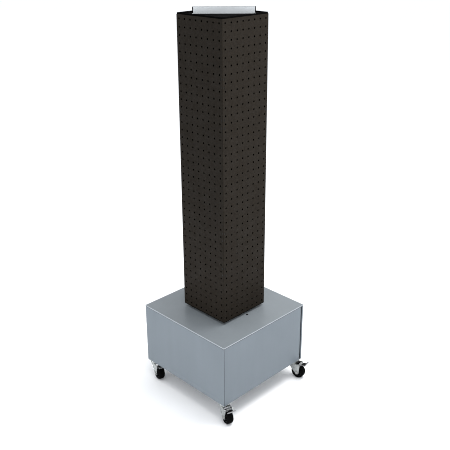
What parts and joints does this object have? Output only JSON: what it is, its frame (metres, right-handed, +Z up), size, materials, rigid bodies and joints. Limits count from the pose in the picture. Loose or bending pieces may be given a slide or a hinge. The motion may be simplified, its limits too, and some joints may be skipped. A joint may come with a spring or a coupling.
{
  "type": "revolving pegboard display tower",
  "caption": "Tall square pegboard tower that revolves on a low square sheet-metal base with swivel casters and foot brakes, with a sign channel on top.",
  "frame": {"origin": "on the floor under the tower's axis, at the middle of the base", "axes": "+Z up, -Y the front face, +X the right face"},
  "size_m": [0.4829, 0.4289, 1.3481],
  "materials": {
    "panel_plastic": "fine pebbled grain",
    "inner_plastic": "satin",
    "trim_plastic": "satin",
    "sign_aluminium": "satin anodised",
    "turntable_steel": "zinc plated",
    "fasteners": "zinc plated",
    "base_silver": "silver metallic, semi-gloss",
    "inner_steel": "satin",
    "zinc": "bright zinc plated",
    "hub_plastic": "satin",
    "tyre_rubber": "soft matte",
    "pedal_steel": "zinc plated"
  },
  "bodies": {
    "base": {"turntable_lower": "turntable_steel", "turntable_screws_lower": "fasteners", "turntable_balls": "fasteners", "base_deck": "base_silver", "base_front": "base_silver", "base_right": "base_silver", "base_left": "base_silver", "base_rear": "base_silver", "base_floor": "inner_steel", "deck_rails": "inner_steel", "rear_screws": "fasteners", "deck_plug": "trim_plastic", "kingpins": "fasteners", "caster_screws": "fasteners", "caster_fl_plate": "zinc", "caster_fr_plate": "zinc", "caster_rr_plate": "zinc", "caster_rl_plate": "zinc"},
    "tower": {"peg_panel_front_lower": "panel_plastic", "peg_panel_right_lower": "panel_plastic", "peg_panel_back_lower": "panel_plastic", "peg_panel_left_lower": "panel_plastic", "peg_panel_front_upper": "panel_plastic", "peg_panel_right_upper": "panel_plastic", "peg_panel_back_upper": "panel_plastic", "peg_panel_left_upper": "panel_plastic", "corner_posts_lower": "inner_plastic", "corner_posts_upper": "inner_plastic", "panel_joiner": "inner_plastic", "core_tube": "inner_plastic", "bottom_tray": "trim_plastic", "top_cap": "trim_plastic", "sign_channel": "sign_aluminium", "sign_liner": "trim_plastic", "sign_screws": "fasteners", "turntable_upper": "turntable_steel", "turntable_screws_upper": "fasteners"},
    "fork_fl": {"caster_fl_fork": "zinc", "caster_fl_axle": "fasteners"},
    "wheel_fl": {"caster_fl_hub": "hub_plastic", "caster_fl_tyre": "tyre_rubber"},
    "brake_fl": {"caster_fl_pedal": "pedal_steel"},
    "fork_fr": {"caster_fr_fork": "zinc", "caster_fr_axle": "fasteners"},
    "wheel_fr": {"caster_fr_hub": "hub_plastic", "caster_fr_tyre": "tyre_rubber"},
    "brake_fr": {"caster_fr_pedal": "pedal_steel"},
    "fork_rr": {"caster_rr_fork": "zinc", "caster_rr_axle": "fasteners"},
    "wheel_rr": {"caster_rr_hub": "hub_plastic", "caster_rr_tyre": "tyre_rubber"},
    "brake_rr": {"caster_rr_pedal": "pedal_steel"},
    "fork_rl": {"caster_rl_fork": "zinc", "caster_rl_axle": "fasteners"},
    "wheel_rl": {"caster_rl_hub": "hub_plastic", "caster_rl_tyre": "tyre_rubber"},
    "brake_rl": {"caster_rl_pedal": "pedal_steel"}
  },
  "joints": [
    {"name": "tower_revolve", "type": "hinge", "parent": "base", "child": "tower", "pos_m": [0, 0, 0.30335], "axis": [0, 0, 1], "continuous": true},
    {"name": "swivel_fl", "type": "hinge", "parent": "base", "child": "fork_fl", "pos_m": [-0.1812, -0.1812, 0.0565], "axis": [0, 0, 1], "continuous": true},
    {"name": "wheel_spin_fl", "type": "hinge", "parent": "fork_fl", "child": "wheel_fl", "pos_m": [-0.15791, -0.18701, 0.025], "axis": [0.2419, 0.9703, 0], "continuous": true},
    {"name": "brake_press_fl", "type": "hinge", "parent": "fork_fl", "child": "brake_fl", "pos_m": [-0.15209, -0.18846, 0.0555], "axis": [0.2419, 0.9703, 0], "range_deg": [0, 30]},
    {"name": "swivel_fr", "type": "hinge", "parent": "base", "child": "fork_fr", "pos_m": [0.1812, -0.1812, 0.0565], "axis": [0, 0, 1], "continuous": true},
    {"name": "wheel_spin_fr", "type": "hinge", "parent": "fork_fr", "child": "wheel_fr", "pos_m": [0.20403, -0.18862, 0.025], "axis": [0.309, 0.9511, 0], "continuous": true},
    {"name": "brake_press_fr", "type": "hinge", "parent": "fork_fr", "child": "brake_fr", "pos_m": [0.20973, -0.19047, 0.0555], "axis": [0.309, 0.9511, 0], "range_deg": [0, 30]},
    {"name": "swivel_rr", "type": "hinge", "parent": "base", "child": "fork_rr", "pos_m": [0.1812, 0.1812, 0.0565], "axis": [0, 0, 1], "continuous": true},
    {"name": "wheel_spin_rr", "type": "hinge", "parent": "fork_rr", "child": "wheel_rr", "pos_m": [0.20468, 0.18619, 0.025], "axis": [-0.2079, 0.9781, 0], "continuous": true},
    {"name": "brake_press_rr", "type": "hinge", "parent": "fork_rr", "child": "brake_rr", "pos_m": [0.21054, 0.18744, 0.0555], "axis": [-0.2079, 0.9781, 0], "range_deg": [0, 30]},
    {"name": "swivel_rl", "type": "hinge", "parent": "base", "child": "fork_rl", "pos_m": [-0.1812, 0.1812, 0.0565], "axis": [0, 0, 1], "continuous": true},
    {"name": "wheel_spin_rl", "type": "hinge", "parent": "fork_rl", "child": "wheel_rl", "pos_m": [-0.20375, 0.18941, 0.025], "axis": [-0.342, -0.9397, 0], "continuous": true},
    {"name": "brake_press_rl", "type": "hinge", "parent": "fork_rl", "child": "brake_rl", "pos_m": [-0.20939, 0.19146, 0.0555], "axis": [-0.342, -0.9397, 0], "range_deg": [0, 30]}
  ]
}
